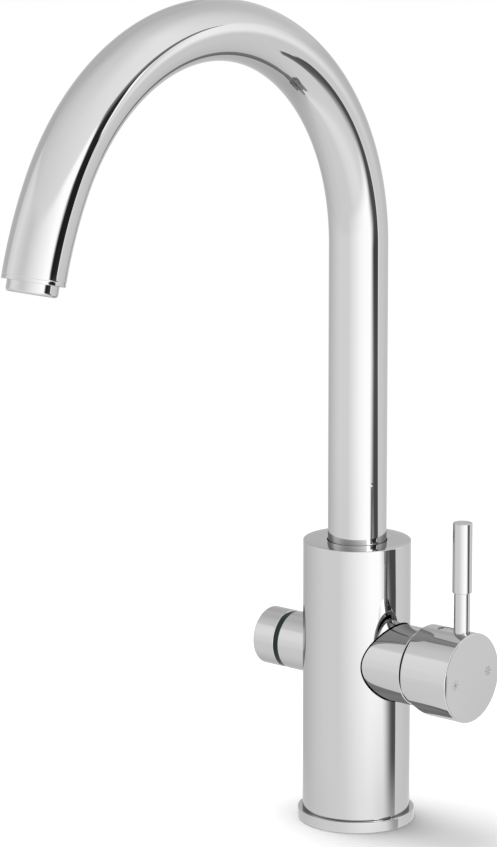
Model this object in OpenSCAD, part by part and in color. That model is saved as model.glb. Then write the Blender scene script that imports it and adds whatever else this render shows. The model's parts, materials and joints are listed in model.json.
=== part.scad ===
// Three-way kitchen mixer tap: hot and cold mixer on the right, filtered water valve on the left.
// The origin is on the deck at the body's axis. The spout points to -Y, the mixer handle to +X.

/* [Base ring] */
// Width by which the base ring stands out from the body
ring_lip = 2; // [1.6:0.1:5]
// Height of the base ring
ring_h = 4.7; // [4:0.1:8]
// Thickness of the rubber seal under the base ring
seal_h = 1.6; // [1.2:0.1:2.4]
// Width of the rubber seal under the base ring
seal_w = 1.8; // [1.2:0.1:1.8]

/* [Body] */
// Diameter of the body
body_d = 46; // [45.5:0.1:48]
// Height of the body above the base ring
body_h = 117.7; // [116:0.1:140]
// Wall of the body shell
body_wall = 2; // [1.6:0.1:2.2]
// Thickness of the body's top
body_cap = 4; // [3:0.1:5]
// Chamfer on the chromed edges
edge = 0.4; // [0.2:0.05:0.6]
// Distance from the body's top down to the axis of both side valves
side_drop = 50.1; // [50:0.1:52]

/* [Mixer socket] */
// Diameter of the socket that carries the mixing cartridge
socket_d = 33; // [32.6:0.1:33.4]
// Distance from the body's axis to the socket's end
socket_x = 35.6; // [35:0.1:40]
// Dark gap round the socket in the body's wall
socket_gap = 0.5; // [0.3:0.05:0.7]

/* [Mixing cartridge] */
// Diameter of the cartridge
cartridge_d = 25; // [24.6:0.1:25.2]
// Distance from the body's axis to the cartridge's seat
seat_x = 5.5; // [5:0.1:6]
// Distance from the body's axis to the pivot of the lever
pivot_x = 32.5; // [32:0.1:33]
// Diameter of the pivot pin
pivot_d = 2.5; // [2:0.1:3]
// Distance from the pivot to the ball that drives the disc
ball_arm = 15; // [14.8:0.1:15.2]
// Diameter of the ball that drives the disc
ball_d = 5; // [4.6:0.1:5.4]
// Thickness of each ceramic disc
disc_t = 2.3; // [2:0.1:2.5]
// Diameter of the moving ceramic disc
moving_disc_d = 13; // [12.4:0.1:13.2]
// Width of the square stem
stem_w = 7; // [6.4:0.1:7.4]
// Diameter of the ports in the cartridge's base
port_d = 4.6; // [4:0.1:5]
// Full lift of the lever
lift_angle = 25; // [20:1:26]

/* [Handle] */
// Diameter of the handle hub
hub_d = 38; // [37.6:0.1:40]
// Length of the handle hub
hub_len = 23.4; // [22.8:0.1:28]
// Gap between the socket's end and the hub
hub_gap = 2.4; // [2:0.1:3]
// Wall of the hub round its rear pocket
hub_wall = 1.7; // [1.4:0.1:1.9]
// Depth of the hub's rear pocket
hub_pocket = 5.5; // [5.2:0.1:6]
// Height below the axis at which the slanted relief starts
relief_drop = 5.5; // [4:0.1:8]
// Slant of the relief from the upright
relief_angle = 31; // [27:1:36]
// Distance from the hub's face to the lever's axis
lever_inset = 5.5; // [5.2:0.1:6.5]
// Diameter of the lever's neck
neck_d = 6.8; // [6:0.1:7.4]
// Length of the lever's neck above the hub
neck_len = 17.1; // [12:0.1:24]
// Diameter of the lever's grip
grip_d = 8.2; // [7.6:0.1:11]
// Length of the lever's grip
grip_len = 29.8; // [20:0.1:60]
// Distance from the hub's face to the clamping screw
screw_inset = 14; // [13.6:0.1:14.2]
// Diameter of the cap over the clamping screw
plug_d = 6.2; // [5.6:0.1:6.6]

/* [Spout] */
// Diameter of the spout tube
spout_d = 25; // [24.4:0.1:25.4]
// Wall of the spout tube
spout_wall = 1.2; // [1:0.1:1.4]
// Height of the straight riser above the body
riser_h = 127.1; // [60:0.1:180]
// Radius of the main bend
bend_r = 98.5; // [70:0.5:120]
// Angle of the main bend
bend_angle = 152; // [130:1:158]
// Radius of the gentler bend before the outlet
tip_r = 157.6; // [120:0.1:220]
// Angle of the gentler bend before the outlet
tip_angle = 14; // [4:1:18]
// Diameter of the filtered water tube inside the spout
inner_tube_d = 6; // [5:0.1:7]
// Wall of the filtered water tube
inner_tube_wall = 1; // [0.8:0.1:1.4]

/* [Aerator] */
// Diameter of the aerator's nose
aerator_d = 20.3; // [19.8:0.1:21]
// Length of the nose below the spout's end
aerator_out = 4.5; // [3:0.1:7]
// Rounding of the nose
aerator_round = 1.4; // [0.6:0.1:1.6]
// Number of jets round the centre outlet
jets = 18; // [12:1:20]

/* [Filtered water valve] */
// Diameter of the valve's socket and knob
valve_d = 25; // [24.6:0.1:26]
// Distance from the body's axis to the coloured ring
valve_ring_x = 33.9; // [33:0.1:38]
// Width of the coloured ring
valve_ring_w = 2.2; // [1.6:0.1:3]
// Length of the knob
knob_len = 11.1; // [10.6:0.1:16]
// Diameter of the headwork
headwork_d = 18.2; // [17.8:0.1:18.6]
// Diameter of the valve's spindle
spindle_d = 8; // [7.4:0.1:8.4]

/* [Inlets] */
// Minor diameter of the inlet threads
inlet_d = 9; // [8.4:0.1:9.2]
// Depth of the inlet threads
inlet_len = 12; // [8:0.5:12]
// Distance of the inlets from the body's axis
inlet_r = 8.4; // [8:0.1:8.6]
// Minor diameter of the two stud threads
stud_d = 5; // [4.2:0.1:5.2]
// Depth of the two stud threads
stud_len = 16; // [10:0.5:24]
// Distance between the two stud threads
stud_pitch = 34.8; // [34.6:0.1:35]

/* [Clearances] */
// Radial clearance of a turning fit
run_fit = 0.06; // [0.04:0.01:0.1]
// Radial clearance of a screwed or pushed joint
seat_fit = 0.05; // [0.02:0.01:0.08]
// Gap between faces that move past each other
face_gap = 0.3; // [0.2:0.05:0.4]

/* [Hidden] */
$fn = 96;

body_r = body_d / 2;
ring_r = body_r + ring_lip;
body_top = ring_h + body_h;
side_z = body_top - side_drop;
cap_z = body_top - body_cap;
shell_r = body_r - body_wall;
spout_r = spout_d / 2;
spout_bore_r = spout_r - spout_wall;
spout_hole_r = spout_r + 0.35;
over = 0.5;

// Core and foot
core_r = shell_r - 0.3;
core_half = 24;
core_low = side_z - core_half;
core_high = side_z + core_half;
joint_len = 8;
joint_r = 16.5;
joint_low = core_low - joint_len;
foot_bore_r = 14;
collar_r = 17;
side_fit = 0.3;

// Spout socket in the core's collar, from below
nipple_r = spout_bore_r - seat_fit;
nipple_bore_r = 8;
spout_floor_z = core_high + 1.7;
seal_room = 8;
nipple_len = 9;
washer_z = spout_floor_z + seal_room;
washer_t = 1.2;
washer_r = 13.8;
collar_bore_r = 14;
flange_z = washer_z + washer_t + 0.1;
flange_t = 2;
tube_foot_z = flange_z + flange_t;
snap_z = tube_foot_z + 0.2;
snap_t = 1.2;
snap_in_r = spout_r + 0.2;
snap_out_r = 14.8;
snap_opening = 5;
bush_z = snap_z + snap_t + 0.2;
o_ring_r = 0.9;
groove_side = 0.1;
o_ring_pitch = 3;
o_ring_low_z = spout_floor_z + 2.6;
o_ring_zs = [o_ring_low_z, o_ring_low_z + o_ring_pitch];

// Centre line of the spout
bend_z = body_top + riser_h;
tip_turn = bend_angle + tip_angle;
bend_y = -bend_r;
tip_y = bend_y + (bend_r - tip_r) * cos(bend_angle);
tip_z = bend_z + (bend_r - tip_r) * sin(bend_angle);
end_y = tip_y + tip_r * cos(tip_turn);
end_z = tip_z + tip_r * sin(tip_turn);
lap_angle = 0.5;
lap_step = 0.06;

// Filtered water tube and its plug in the core
inner_r = inner_tube_d / 2;
plug_port_r = inner_r + 1;
plug_floor_z = spout_floor_z - 5;
way_r = 2;
way_z = plug_floor_z - 2.4;
way_x = 11.5;
plug_seal_z = spout_floor_z - 2;
plug_seal_h = 1;
plug_top_z = spout_floor_z + 3;
tube_low_z = plug_floor_z + 2;
tube_back = 9.3;
tube_short = tube_back / tip_r * 180 / PI;

// Aerator, along the outlet's axis; values count up out of the spout
nose_r = aerator_d / 2;
nose_bore_r = nose_r - 1.3;
nose_low = -0.9;
thread_low = -6;
thread_fit = 0.15;
flat_seal_t = 1.2;
insert_r = nose_bore_r - seat_fit;
insert_back_r = insert_r - 1;
plate_low = -0.5;
plate_out = aerator_out - 0.8;
insert_low = -8;
boss_low = -12;
boss_socket = -9;
boss_fit = 0.5;
boss_r = inner_r + boss_fit + 1.2;
nozzle_r = 4.2;
jet_r = 0.62;
jet_ring_r = (insert_r + 4.6) / 2;

// Mixer side, along +X
socket_r = socket_d / 2;
pocket_r = cartridge_d / 2 + 0.2;
spigot_r = pocket_r + 1.95;
spigot_floor = seat_x + 1.5;
seal_gap = 1.5;
spigot_x = spigot_floor + seal_gap;
shoulder_x = 13.5;
seat_gap = 0.5;
base_x = seat_x + seat_gap;
base_len = 3.5;
fixed_x = base_x + base_len;
disc_gap = 0.03;
moving_x = fixed_x + disc_t + disc_gap;
carrier_x = moving_x + disc_t;
carrier_t = 4.6;
carrier_floor = 0.6;
ball_room = 0.25;
rotor_x = carrier_x + carrier_t + face_gap;
housing_wall = 2.2;
housing_bore_r = cartridge_d / 2 - housing_wall;
fixed_disc_r = housing_bore_r - 0.1;
rotor_r = housing_bore_r - run_fit;
rotor_shoulder = pivot_x - 2.7;
rotor_neck_r = 8.6;
rotor_end = pivot_x + 4.3;
housing_top_t = 1.5;
housing_top = rotor_shoulder + 0.1 + housing_top_t;
nut_x = housing_top + 0.1;
nut_r = pocket_r + 0.85;
nut_hole_r = rotor_neck_r + 0.3;
nut_flange_x = socket_x + 0.2;
nut_flange_r = socket_r - 0.9;
nut_end = nut_flange_x + 2.2;
nut_tip_r = 12;
ball_x = pivot_x - ball_arm;
ball_r = ball_d / 2;
moving_r = moving_disc_d / 2;
disc_travel = ball_arm * sin(lift_angle);
disc_rest_z = -disc_travel / 2;
port_r = port_d / 2;
feed_y = 6.4;
feed_z = -3.2;
mixed_z = 6.4;
riser_x = 2;
riser_y = 7.5;
pin_r = pivot_d / 2;
pin_half = rotor_neck_r - 0.4;
pin_fit = 0.01;
stem_back = 3.6;
stem_room = 0.25;
slot_back = 5.2;
seal_wall = 1;
seal_seat = 1;

// Handle, along +X
hub_r = hub_d / 2;
hub_x = socket_x + hub_gap;
hub_face = hub_x + hub_len;
hub_floor = hub_x + hub_pocket;
hub_bore_r = hub_r - hub_wall;
lever_x = hub_face - lever_inset;
screw_x = hub_face - screw_inset;
stem_end = lever_x - 2.9;
stem_fit = 0.1;
stem_arm_r = 1.6;
neck_r = neck_d / 2;
grip_r = grip_d / 2;
hub_top = side_z + hub_r;
neck_seat_z = hub_top - 2.4;
lever_thread_r = 2.4;
lever_thread_len = 8;
lever_thread_z = neck_seat_z - lever_thread_len;
grip_low_z = hub_top + neck_len;
grip_top_z = grip_low_z + grip_len;
grub_r = 2.45;
grub_len = 8;
grub_low_z = side_z + stem_w / 2 + 0.05;
plug_r = plug_d / 2;
plug_h = 2.6;
plug_low_z = hub_top - 0.35 - plug_h;
hex_key_r = 1.45;

// Filtered water side, mirrored onto -X
valve_r = valve_d / 2;
valve_gap = 0.35;
headwork_r = headwork_d / 2;
valve_bore_r = headwork_r + seat_fit;
valve_seat = 7.5;
valve_spigot_r = headwork_r + 2;
valve_spigot_x = valve_seat + 5.2;
chamber_gap = 0.6;
valve_shoulder = 17;
valve_ring_end = valve_ring_x + valve_ring_w;
ring_seat_r = valve_r - 2;
knob_x = valve_ring_end + 0.25;
knob_face = knob_x + knob_len;
knob_pocket = 4;
headwork_x = valve_seat + 0.7;
headwork_len = 22.5;
headwork_end = headwork_x + headwork_len;
headwork_bore_r = headwork_r - 1.9;
headwork_disc_r = headwork_bore_r - 0.1;
valve_disc_x = headwork_x + 0.3;
valve_disc_t = 2.5;
valve_moving_x = valve_disc_x + valve_disc_t + disc_gap;
fork_x = valve_moving_x + valve_disc_t + 0.05;
fork_t = 3.6;
headwork_step = fork_x + fork_t + 0.2;
spindle_r = spindle_d / 2;
spindle_end = knob_face - 4;
spindle_seal_x = headwork_step + 4;
clip_x = headwork_end + 0.15;
clip_t = 0.9;
knob_screw_x = knob_face - 4.6;
knob_grub_r = 1.95;

module tube_z(z0, z1, ro, ri) {
    translate([0, 0, z0]) difference() {
        cylinder(h = z1 - z0, r = ro);
        translate([0, 0, -over]) cylinder(h = z1 - z0 + 2 * over, r = ri);
    }
}

module rod_z(z0, z1, r) {
    translate([0, 0, z0]) cylinder(h = z1 - z0, r = r);
}

// Cylinder along X on the side axis, from a to b
module rod_x(a, b, r) {
    translate([a, 0, side_z]) rotate([0, 90, 0]) cylinder(h = b - a, r = r);
}

// Turned piece on the side axis; each point is [radius, x]
module turn_x(points) {
    translate([0, 0, side_z]) rotate([0, 90, 0]) rotate_extrude() polygon(points);
}

module left() {
    mirror([1, 0, 0]) children();
}

// Places its children at y and z off the side axis
module beside(y, z) {
    translate([0, y, z]) children();
}

module o_ring_z(z, ring_centre_r, section_r) {
    translate([0, 0, z]) rotate_extrude() translate([ring_centre_r, 0]) circle(r = section_r, $fn = 32);
}

// Ring-shaped section of a tube
module tube_section(ro, ri) {
    difference() {
        circle(r = ro);
        circle(r = ri);
    }
}

// Tube along the spout's centre line, from the height low to the angle last of the gentler bend
module spout_line(low, last, ro, ri) {
    translate([0, 0, low]) linear_extrude(bend_z - low) tube_section(ro, ri);
    translate([0, bend_y, bend_z]) rotate([90, 0, 90])
        rotate_extrude(angle = bend_angle) translate([bend_r, 0]) tube_section(ro, ri);
    translate([0, tip_y, tip_z]) rotate([90, 0, 90]) rotate([0, 0, bend_angle - lap_angle])
        rotate_extrude(angle = last + lap_angle) translate([tip_r, 0])
            tube_section(ro - lap_step, ri - lap_step);
}

// Places its children at the spout's end, with +Z out of the outlet
module at_outlet() {
    translate([0, end_y, end_z]) rotate([tip_turn, 0, 0]) children();
}

module base_ring() {
    color("gainsboro") difference() {
        rotate_extrude() polygon([
            [shell_r + seat_fit, 0], [ring_r, 0], [ring_r, ring_h - edge],
            [ring_r - edge, ring_h], [shell_r + seat_fit, ring_h]]);
        tube_z(-over, seal_h, ring_r - 1, ring_r - 1 - seal_w);
    }
}

module base_seal() {
    color("dimgray") tube_z(0, seal_h, ring_r - 1, ring_r - 1 - seal_w);
}

module body_shell() {
    color("silver") difference() {
        rotate_extrude() polygon([
            [shell_r, ring_h], [body_r - edge, ring_h], [body_r, ring_h + edge],
            [body_r, body_top - edge], [body_r - edge, body_top], [spout_hole_r, body_top],
            [spout_hole_r, cap_z], [shell_r, cap_z]]);
        rod_x(0, body_r + 1, socket_r + socket_gap);
        left() rod_x(0, body_r + 1, valve_r + valve_gap);
    }
}

module mounting_foot() {
    color("goldenrod") difference() {
        rod_z(0, core_low, shell_r - seat_fit);
        rod_z(-over, core_low + over, foot_bore_r);
        rod_z(joint_low, core_low + over, joint_r + seat_fit);
        for (side = [-1, 1])
            translate([0, side * stud_pitch / 2, -over])
                cylinder(h = stud_len + over, r = stud_d / 2);
    }
}

module valve_core() {
    color("darkgoldenrod") difference() {
        union() {
            rod_z(core_low, core_high, core_r);
            rod_z(joint_low, core_low + 1, joint_r);
            rod_z(core_high - 1, cap_z - 0.1, collar_r);
        }
        // Spout socket
        rod_z(spout_floor_z, washer_z + over, spout_bore_r);
        rod_z(washer_z, cap_z + over, collar_bore_r);
        tube_z(snap_z - 0.1, snap_z + snap_t + 0.1, snap_out_r + 0.1, collar_bore_r - 1);
        // Centre port and the way to it from the filtered water valve
        rod_z(plug_floor_z, spout_floor_z + over, plug_port_r);
        rod_z(way_z, plug_floor_z + over, way_r);
        translate([0, 0, way_z - side_z]) left() rod_x(-way_r, way_x + way_r, way_r);
        translate([-way_x, 0, 0]) rod_z(side_z, way_z + way_r, way_r);
        // Mixer pocket
        rod_x(seat_x, core_r + 1, pocket_r);
        rod_x(spigot_floor, core_r + 1, spigot_r + seat_fit);
        rod_x(shoulder_x, core_r + 1, socket_r + side_fit);
        // Hot and cold ways to the seat, and the mixed way to the spout
        for (side = [-1, 1]) {
            translate([0, side * feed_y, joint_low + inlet_len - 1])
                cylinder(h = side_z + feed_z - joint_low - inlet_len + 3, r = port_r);
            beside(side * feed_y, feed_z) rod_x(-1, seat_x + over, port_r);
        }
        beside(0, mixed_z) rod_x(riser_x - port_r - over, seat_x + over, port_r);
        translate([riser_x, riser_y, side_z + mixed_z]) rotate([90, 0, 0]) cylinder(h = riser_y, r = way_r);
        translate([riser_x, riser_y, 0]) rod_z(side_z + mixed_z - 1, spout_floor_z + over, port_r);
        // Filtered water pocket
        left() rod_x(valve_seat, core_r + 1, valve_bore_r + chamber_gap);
        left() rod_x(valve_spigot_x - 0.2, core_r + 1, valve_spigot_r + seat_fit);
        left() rod_x(valve_shoulder, core_r + 1, valve_r + side_fit);
        translate([-inlet_r, 0, 0]) rod_z(joint_low + inlet_len - 1, side_z, way_r);
        left() rod_x(inlet_r - 2 * way_r, valve_seat + over, way_r);
        // Inlet threads
        for (place = [[0, inlet_r], [0, -inlet_r], [-inlet_r, 0]])
            translate([place[0], place[1], 0])
                rod_z(joint_low - over, joint_low + inlet_len, inlet_d / 2);
    }
}

module mixer_socket() {
    color("silver") turn_x([
        [pocket_r, spigot_x], [spigot_r, spigot_x], [spigot_r, shoulder_x], [socket_r, shoulder_x],
        [socket_r, socket_x - edge], [socket_r - edge, socket_x], [nut_r + seat_fit, socket_x],
        [nut_r + seat_fit, housing_top], [pocket_r, housing_top]]);
}

module socket_seal() {
    color("dimgray") turn_x([
        [pocket_r + 0.1, spigot_floor], [spigot_r, spigot_floor],
        [spigot_r, spigot_x], [pocket_r + 0.1, spigot_x]]);
}

// The three water ports of the cartridge, from a to b
module ports(a, b, r) {
    for (side = [-1, 1])
        beside(side * feed_y, feed_z) rod_x(a, b, r);
    beside(0, mixed_z) rod_x(a, b, r);
}

module cartridge_base() {
    color("whitesmoke") difference() {
        rod_x(base_x, fixed_x, cartridge_d / 2);
        ports(base_x - over, fixed_x + over, port_r);
        ports(base_x - over, base_x + seal_seat, port_r + seal_wall + seat_fit);
    }
}

module cartridge_seals() {
    color("dimgray") difference() {
        ports(seat_x, base_x + seal_seat, port_r + seal_wall);
        ports(seat_x - over, base_x + seal_seat + over, port_r + 0.1);
    }
}

module cartridge_housing() {
    color("whitesmoke") turn_x([
        [housing_bore_r, fixed_x], [cartridge_d / 2, fixed_x], [cartridge_d / 2, housing_top],
        [rotor_neck_r + run_fit, housing_top], [rotor_neck_r + run_fit, housing_top - housing_top_t],
        [housing_bore_r, housing_top - housing_top_t]]);
}

module fixed_disc() {
    color("white") difference() {
        rod_x(fixed_x, fixed_x + disc_t, fixed_disc_r);
        ports(fixed_x - over, fixed_x + disc_t + over, port_r - 0.4);
    }
}

module moving_disc() {
    color("ivory") difference() {
        beside(0, disc_rest_z) rod_x(moving_x, carrier_x, moving_r);
        beside(0, disc_rest_z) rod_x(moving_x - over, moving_x + 1.2, moving_r - 2.2);
    }
}

module disc_carrier() {
    color("lightsteelblue") difference() {
        beside(0, disc_rest_z) rod_x(carrier_x, carrier_x + carrier_t, moving_r);
        rod_x(carrier_x + carrier_floor, rotor_x, ball_r + ball_room);
    }
}

// Side view of the room that the stem sweeps, as points [x, z] off the pivot
function swept_slot(back, front, half) = [
    [-back, -half], [-half * tan(lift_angle / 2), -half],
    [front, -half / cos(lift_angle) - front * tan(lift_angle)],
    [front, half], [half * tan(lift_angle / 2), half],
    [-back, half / cos(lift_angle) + back * tan(lift_angle)]];

module slot(back, front, half) {
    translate([pivot_x, half, side_z]) rotate([90, 0, 0])
        linear_extrude(2 * half) polygon(swept_slot(back, front, half));
}

module cartridge_rotor() {
    color("lightgray") difference() {
        turn_x([
            [0, rotor_x], [rotor_r, rotor_x], [rotor_r, rotor_shoulder],
            [rotor_neck_r, rotor_shoulder], [rotor_neck_r, rotor_end], [0, rotor_end]]);
        slot(slot_back, rotor_end - pivot_x + 1, stem_w / 2 + stem_room);
        slot(pivot_x - rotor_x + 1, 1, ball_r + face_gap);
        translate([pivot_x, rotor_neck_r, side_z]) rotate([90, 0, 0])
            cylinder(h = 2 * rotor_neck_r, r = pin_r + pin_fit);
    }
}

module pivot_pin() {
    color("lightslategray") translate([pivot_x, pin_half, side_z]) rotate([90, 0, 0])
        cylinder(h = 2 * pin_half, r = pin_r);
}

module cartridge_nut() {
    color("darkkhaki") turn_x([
        [nut_hole_r, nut_x], [nut_r, nut_x], [nut_r, nut_flange_x], [nut_flange_r, nut_flange_x],
        [nut_flange_r, nut_flange_x + 0.6], [nut_tip_r, nut_end], [nut_hole_r, nut_end]]);
}

module handle_stem() {
    color("lightslategray") difference() {
        union() {
            translate([pivot_x - stem_back, -stem_w / 2, side_z - stem_w / 2])
                cube([stem_end - pivot_x + stem_back, stem_w, stem_w]);
            rod_x(ball_x, pivot_x - stem_back + over, stem_arm_r);
            translate([ball_x, 0, side_z]) sphere(r = ball_r);
        }
        translate([pivot_x, stem_w, side_z]) rotate([90, 0, 0])
            cylinder(h = 2 * stem_w, r = pin_r + run_fit);
    }
}

module handle_hub() {
    color("silver") difference() {
        turn_x([
            [0, hub_floor], [hub_bore_r, hub_floor], [hub_bore_r, hub_x], [hub_r - edge, hub_x],
            [hub_r, hub_x + edge], [hub_r, hub_face - edge], [hub_r - edge, hub_face], [0, hub_face]]);
        // Slanted relief that lets the hub tilt over the socket
        translate([hub_x, -hub_r - 1, side_z - relief_drop]) rotate([0, -relief_angle, 0])
            translate([-hub_r, 0, -2 * hub_r]) cube([hub_r, 2 * hub_r + 2, 2 * hub_r]);
        // Square seat of the stem
        translate([hub_floor - over, -stem_w / 2 - stem_fit, side_z - stem_w / 2 - stem_fit])
            cube([stem_end - hub_floor + over + 0.2, stem_w + 2 * stem_fit, stem_w + 2 * stem_fit]);
        // Seat and thread of the lever
        translate([lever_x, 0, 0]) rod_z(neck_seat_z, hub_top + 1, neck_r + seat_fit);
        translate([lever_x, 0, 0]) rod_z(lever_thread_z - 0.3, hub_top, lever_thread_r + seat_fit);
        // Clamping screw and its cap
        translate([screw_x, 0, 0]) rod_z(side_z, hub_top, grub_r + seat_fit);
        translate([screw_x, 0, 0]) rod_z(plug_low_z, hub_top + 1, plug_r + seat_fit);
    }
}

module lever_rod() {
    color("silver") translate([lever_x, 0, 0]) rotate_extrude() polygon([
        [0, lever_thread_z], [lever_thread_r, lever_thread_z], [lever_thread_r, neck_seat_z],
        [neck_r, neck_seat_z], [neck_r, grip_low_z], [grip_r - edge / 2, grip_low_z],
        [grip_r, grip_low_z + edge / 2], [grip_r, grip_top_z - edge], [grip_r - edge, grip_top_z],
        [0, grip_top_z]]);
}

module hub_grub_screw() {
    color("dimgray") translate([screw_x, 0, grub_low_z]) difference() {
        cylinder(h = grub_len, r = grub_r);
        translate([0, 0, grub_len - 3]) cylinder(h = 3 + over, r = hex_key_r, $fn = 6);
    }
}

module hub_plug() {
    color("silver") translate([screw_x, 0, plug_low_z]) rotate_extrude() polygon([
        [0, 0], [plug_r, 0], [plug_r, plug_h - 0.5], [plug_r - 0.4, plug_h - 0.15], [0, plug_h]]);
}

module spout_tube() {
    color("silver") spout_line(tube_foot_z, tip_angle, spout_r, spout_bore_r);
}

module spout_nipple() {
    color("goldenrod") difference() {
        union() {
            rod_z(spout_floor_z + 0.5, tube_foot_z + nipple_len, nipple_r);
            rod_z(flange_z, tube_foot_z, washer_r - run_fit);
        }
        rod_z(spout_floor_z, tube_foot_z + nipple_len + over, nipple_bore_r);
        for (z = o_ring_zs)
            tube_z(z - o_ring_r - groove_side, z + o_ring_r + groove_side,
                spout_r, spout_bore_r - 2 * o_ring_r - groove_side);
    }
}

module spout_o_rings() {
    color("black") for (z = o_ring_zs)
        o_ring_z(z, spout_bore_r - o_ring_r - 0.04, o_ring_r);
}

module glide_washer() {
    color("white") tube_z(washer_z, washer_z + washer_t, washer_r, spout_bore_r + 0.1);
}

module snap_ring() {
    color("slategray") difference() {
        tube_z(snap_z, snap_z + snap_t, snap_out_r, snap_in_r);
        translate([-snap_opening / 2, 0, snap_z - over])
            cube([snap_opening, snap_out_r + 1, snap_t + 2 * over]);
    }
}

module glide_bush() {
    color("white") tube_z(bush_z, cap_z - 0.1, collar_bore_r - seat_fit, spout_r + run_fit);
}

module filter_water_tube() {
    color("aliceblue") spout_line(tube_low_z, tip_angle - tube_short, inner_r, inner_r - inner_tube_wall);
}

module tube_plug() {
    color("goldenrod") difference() {
        rod_z(plug_floor_z + 0.3, plug_top_z, plug_port_r - run_fit);
        rod_z(tube_low_z, plug_top_z + over, inner_r + seat_fit);
        rod_z(plug_floor_z, plug_top_z, inner_r - inner_tube_wall);
        tube_z(plug_seal_z - groove_side, plug_seal_z + plug_seal_h + groove_side,
            plug_port_r + 1, plug_port_r - 0.6);
    }
}

module tube_plug_seal() {
    color("black") tube_z(plug_seal_z, plug_seal_z + plug_seal_h, plug_port_r - 0.03, plug_port_r - 0.55);
}

module aerator_housing() {
    arc = [for (a = [0:15:90])
        [nose_r - aerator_round * (1 - cos(a)), aerator_out - aerator_round * (1 - sin(a))]];
    color("silver") at_outlet() rotate_extrude() polygon(concat(
        [[nose_bore_r, thread_low], [spout_bore_r - thread_fit, thread_low],
        [spout_bore_r - thread_fit, nose_low], [nose_r, nose_low]],
        arc, [[nose_bore_r, aerator_out]]));
}

module aerator_insert() {
    color("lightgray") at_outlet() difference() {
        union() {
            rod_z(plate_low, plate_out, insert_r);
            rod_z(insert_low, plate_low + over, insert_back_r);
            rod_z(boss_low, insert_low + over, boss_r);
            rod_z(plate_low, aerator_out - 0.1, nozzle_r);
        }
        rod_z(boss_low - over, boss_socket, inner_r + boss_fit);
        rod_z(boss_socket - over, aerator_out, inner_r - inner_tube_wall);
        for (i = [0:jets - 1])
            rotate([0, 0, i * 360 / jets]) translate([jet_ring_r, 0, insert_low - over])
                cylinder(h = aerator_out - insert_low, r = jet_r, $fn = 16);
    }
}

module aerator_washer() {
    color("dimgray") at_outlet() tube_z(thread_low - flat_seal_t, thread_low,
        spout_bore_r - thread_fit - 0.1, insert_back_r + 0.1);
}

module filter_socket() {
    color("silver") left() turn_x([
        [valve_bore_r, valve_spigot_x], [valve_spigot_r, valve_spigot_x], [valve_spigot_r, valve_shoulder],
        [valve_r, valve_shoulder], [valve_r, valve_ring_x - edge], [valve_r - edge, valve_ring_x],
        [ring_seat_r, valve_ring_x], [ring_seat_r, valve_ring_end], [valve_bore_r, valve_ring_end]]);
}

module indicator_ring() {
    color("darkgreen") left() turn_x([
        [ring_seat_r + seat_fit, valve_ring_x], [valve_r - edge, valve_ring_x],
        [valve_r - edge, valve_ring_end], [ring_seat_r + seat_fit, valve_ring_end]]);
}

module headwork_body() {
    color("goldenrod") left() difference() {
        turn_x([
            [headwork_bore_r, headwork_x], [headwork_r, headwork_x], [headwork_r, headwork_end],
            [spindle_r + run_fit, headwork_end], [spindle_r + run_fit, headwork_step],
            [headwork_bore_r, headwork_step]]);
        translate([fork_x + fork_t / 2, 0, side_z - headwork_d]) cylinder(h = 2 * headwork_d, r = 1.6);
    }
}

module headwork_seal() {
    color("dimgray") left() turn_x([
        [4.4, valve_seat], [headwork_r - 0.2, valve_seat],
        [headwork_r - 0.2, headwork_x], [4.4, headwork_x]]);
}

// Pair of sector openings in the valve's ceramic discs, from a to b
module sectors(a, b) {
    for (side = [-1, 1])
        beside(0, side * headwork_disc_r * 0.52) rod_x(a, b, headwork_disc_r * 0.36);
}

module headwork_fixed_disc() {
    color("white") left() difference() {
        rod_x(valve_disc_x, valve_disc_x + valve_disc_t, headwork_disc_r);
        sectors(valve_disc_x - over, valve_disc_x + valve_disc_t + over);
    }
}

module headwork_moving_disc() {
    color("ivory") left() difference() {
        rod_x(valve_moving_x, valve_moving_x + valve_disc_t, headwork_disc_r);
        translate([0, 0, side_z]) rotate([90, 0, 0]) translate([0, 0, -side_z])
            sectors(valve_moving_x - over, valve_moving_x + valve_disc_t + over);
    }
}

module headwork_spindle() {
    color("lightslategray") left() difference() {
        union() {
            rod_x(fork_x, fork_x + fork_t, headwork_disc_r);
            rod_x(fork_x + 1, spindle_end, spindle_r);
        }
        turn_x([
            [spindle_r - 0.9, spindle_seal_x - 0.7], [spindle_r + 1, spindle_seal_x - 0.7],
            [spindle_r + 1, spindle_seal_x + 0.7], [spindle_r - 0.9, spindle_seal_x + 0.7]]);
        turn_x([
            [spindle_r - 0.8, clip_x - 0.05], [spindle_r + 1, clip_x - 0.05],
            [spindle_r + 1, clip_x + clip_t + 0.05], [spindle_r - 0.8, clip_x + clip_t + 0.05]]);
    }
}

module spindle_o_ring() {
    color("black") left() turn_x([
        [spindle_r - 0.85, spindle_seal_x - 0.6], [spindle_r + 0.03, spindle_seal_x - 0.6],
        [spindle_r + 0.03, spindle_seal_x + 0.6], [spindle_r - 0.85, spindle_seal_x + 0.6]]);
}

module spindle_clip() {
    color("slategray") left() difference() {
        turn_x([
            [spindle_r - 0.75, clip_x], [spindle_r + 1.8, clip_x],
            [spindle_r + 1.8, clip_x + clip_t], [spindle_r - 0.75, clip_x + clip_t]]);
        translate([clip_x - over, -2, side_z]) cube([clip_t + 2 * over, 4, spindle_r + 3]);
    }
}

module filter_knob() {
    color("silver") left() difference() {
        turn_x([
            [0, knob_x + knob_pocket], [ring_seat_r + 0.4, knob_x + knob_pocket],
            [ring_seat_r + 0.4, knob_x], [valve_r - edge, knob_x], [valve_r, knob_x + edge],
            [valve_r, knob_face - edge], [valve_r - edge, knob_face], [0, knob_face]]);
        rod_x(knob_x, spindle_end + 0.2, spindle_r + seat_fit);
        translate([knob_screw_x, 0, 0]) rod_z(side_z - valve_r - 1, side_z, knob_grub_r + seat_fit);
    }
}

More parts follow.
